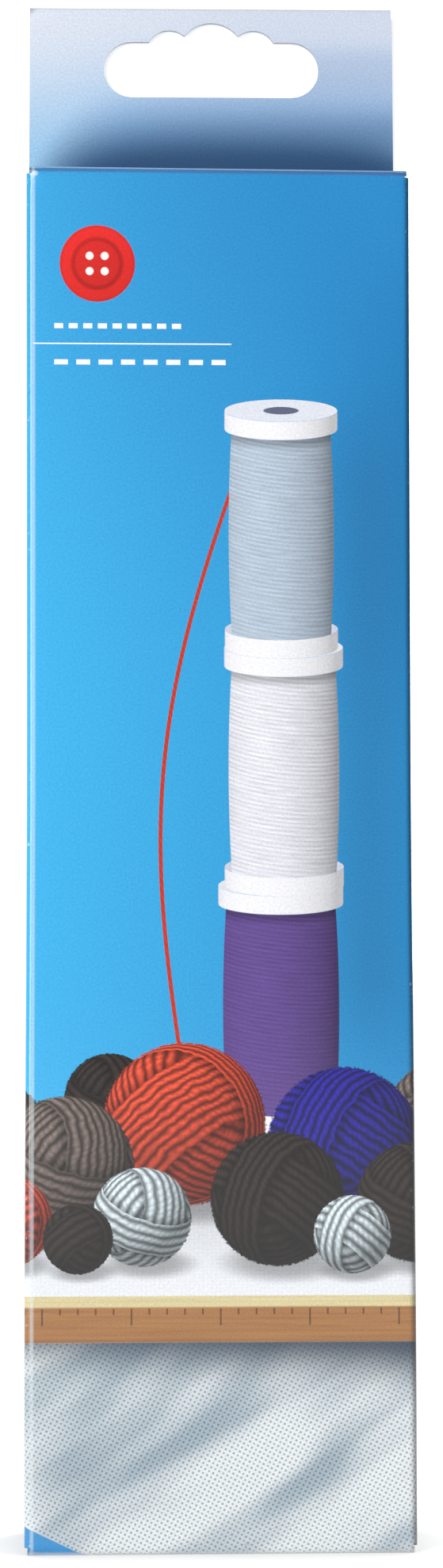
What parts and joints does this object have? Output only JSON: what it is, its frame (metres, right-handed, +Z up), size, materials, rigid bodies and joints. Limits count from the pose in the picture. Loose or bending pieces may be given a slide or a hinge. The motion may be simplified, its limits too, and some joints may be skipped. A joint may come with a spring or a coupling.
{
  "type": "hanging carton",
  "caption": "Tall printed folding carton with a scalloped hang slot in its tab and tuck-in lids at both ends.",
  "frame": {"origin": "centre of the carton's bottom, at the middle of its depth", "axes": "+Z up towards the hang tab, the printed front faces -Y, +X to the viewer's right"},
  "size_m": [0.055, 0.026, 0.2232],
  "materials": {
    "printed_board": "gloss print outside, grey-brown board inside"
  },
  "bodies": {
    "carton": {"carton_body": "printed_board"},
    "top_lid": {"top_flap": "printed_board"},
    "bottom_lid": {"bottom_flap": "printed_board"}
  },
  "joints": [
    {"name": "top_flap_hinge", "type": "hinge", "parent": "carton", "child": "top_lid", "pos_m": [0, -0.01274, 0.19474], "axis": [1, 0, 0], "range_deg": [0, 180]},
    {"name": "bottom_flap_hinge", "type": "hinge", "parent": "carton", "child": "bottom_lid", "pos_m": [0, -0.01274, 0.00026], "axis": [-1, 0, 0], "range_deg": [0, 180]}
  ]
}
